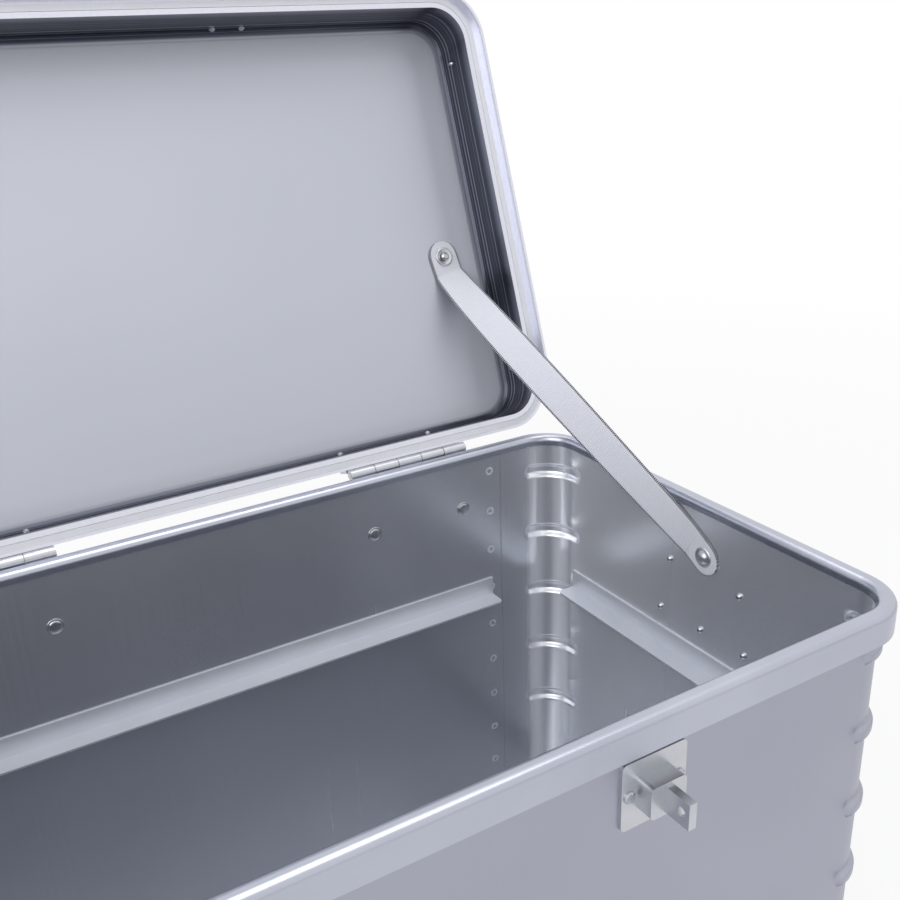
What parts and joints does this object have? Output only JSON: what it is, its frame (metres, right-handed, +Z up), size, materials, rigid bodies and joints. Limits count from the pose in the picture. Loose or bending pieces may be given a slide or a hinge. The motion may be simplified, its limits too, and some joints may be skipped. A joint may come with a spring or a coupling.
{
  "type": "battery storage safe",
  "caption": "Lockable sheet-aluminium storage case with corner beads, hinged lid on webbing straps, ledges inside, drop handles and hasp clasps.",
  "frame": {"origin": "middle of the floor pan's underside, which the case stands on", "axes": "+X to the case's right side seen from the front, +Y to the hinges at the rear, +Z up"},
  "size_m": [0.641, 0.5592, 0.7888],
  "materials": {
    "sheet": "rolled sheet, brushed satin",
    "profile": "satin anodised profile",
    "casting": "matte cast",
    "steel": "bright zinc plated",
    "rivet": "bare rivet metal",
    "seal": "matte black rubber",
    "grip": "matte black plastic",
    "webbing": "light grey woven webbing"
  },
  "bodies": {
    "case": {"body_shell": "sheet", "floor_pan": "sheet", "body_rim": "profile", "rear_ledge": "profile", "front_ledge": "profile", "hinge_body_rivets": "rivet", "handle_rivets": "rivet", "clasp_keeper_rivets": "rivet", "base_corner_rivets": "rivet", "strap_body_rivets": "steel", "left_ledge": "profile", "left_hinge_body_leaf": "steel", "left_hinge_pin": "steel", "left_handle_plate": "steel", "left_clasp_keeper": "steel", "left_strap": "webbing", "base_corner_front_left": "casting", "base_corner_rear_left": "casting", "right_ledge": "profile", "right_hinge_body_leaf": "steel", "right_hinge_pin": "steel", "right_handle_plate": "steel", "right_clasp_keeper": "steel", "right_strap": "webbing", "base_corner_front_right": "casting", "base_corner_rear_right": "casting"},
    "lid": {"lid_shell": "sheet", "lid_rim": "profile", "lid_seal": "seal", "hinge_lid_rivets": "rivet", "clasp_leaf_rivets": "rivet", "lid_corner_rivets": "rivet", "strap_washers": "steel", "strap_lid_rivets": "rivet", "left_hinge_lid_leaf": "steel", "left_clasp_leaf": "steel", "left_clasp_pin": "steel", "lid_corner_front_left": "casting", "lid_corner_rear_left": "casting", "right_hinge_lid_leaf": "steel", "right_clasp_leaf": "steel", "right_clasp_pin": "steel", "lid_corner_front_right": "casting", "lid_corner_rear_right": "casting"},
    "left_handle": {"left_handle_bail": "steel", "left_handle_grip": "grip"},
    "left_hasp": {"left_clasp_hasp": "steel"},
    "right_handle": {"right_handle_bail": "steel", "right_handle_grip": "grip"},
    "right_hasp": {"right_clasp_hasp": "steel"}
  },
  "joints": [
    {"name": "lid_hinge", "type": "hinge", "parent": "case", "child": "lid", "pos_m": [0, 0.187, 0.35], "axis": [1, 0, 0], "range_deg": [0, 109], "deforming": ["left_strap", "right_strap"]},
    {"name": "left_handle_swing", "type": "hinge", "parent": "case", "child": "left_handle", "pos_m": [-0.312, -0.012, 0.28], "axis": [0, 1, 0], "range_deg": [0, 90]},
    {"name": "left_hasp_swing", "type": "hinge", "parent": "lid", "child": "left_hasp", "pos_m": [-0.105, 0.32881, 0.70042], "axis": [1, 0, 0], "range_deg": [-60, 75]},
    {"name": "right_handle_swing", "type": "hinge", "parent": "case", "child": "right_handle", "pos_m": [0.312, -0.012, 0.28], "axis": [0, -1, 0], "range_deg": [0, 90]},
    {"name": "right_hasp_swing", "type": "hinge", "parent": "lid", "child": "right_hasp", "pos_m": [0.105, 0.32881, 0.70042], "axis": [1, 0, 0], "range_deg": [-60, 75]}
  ]
}
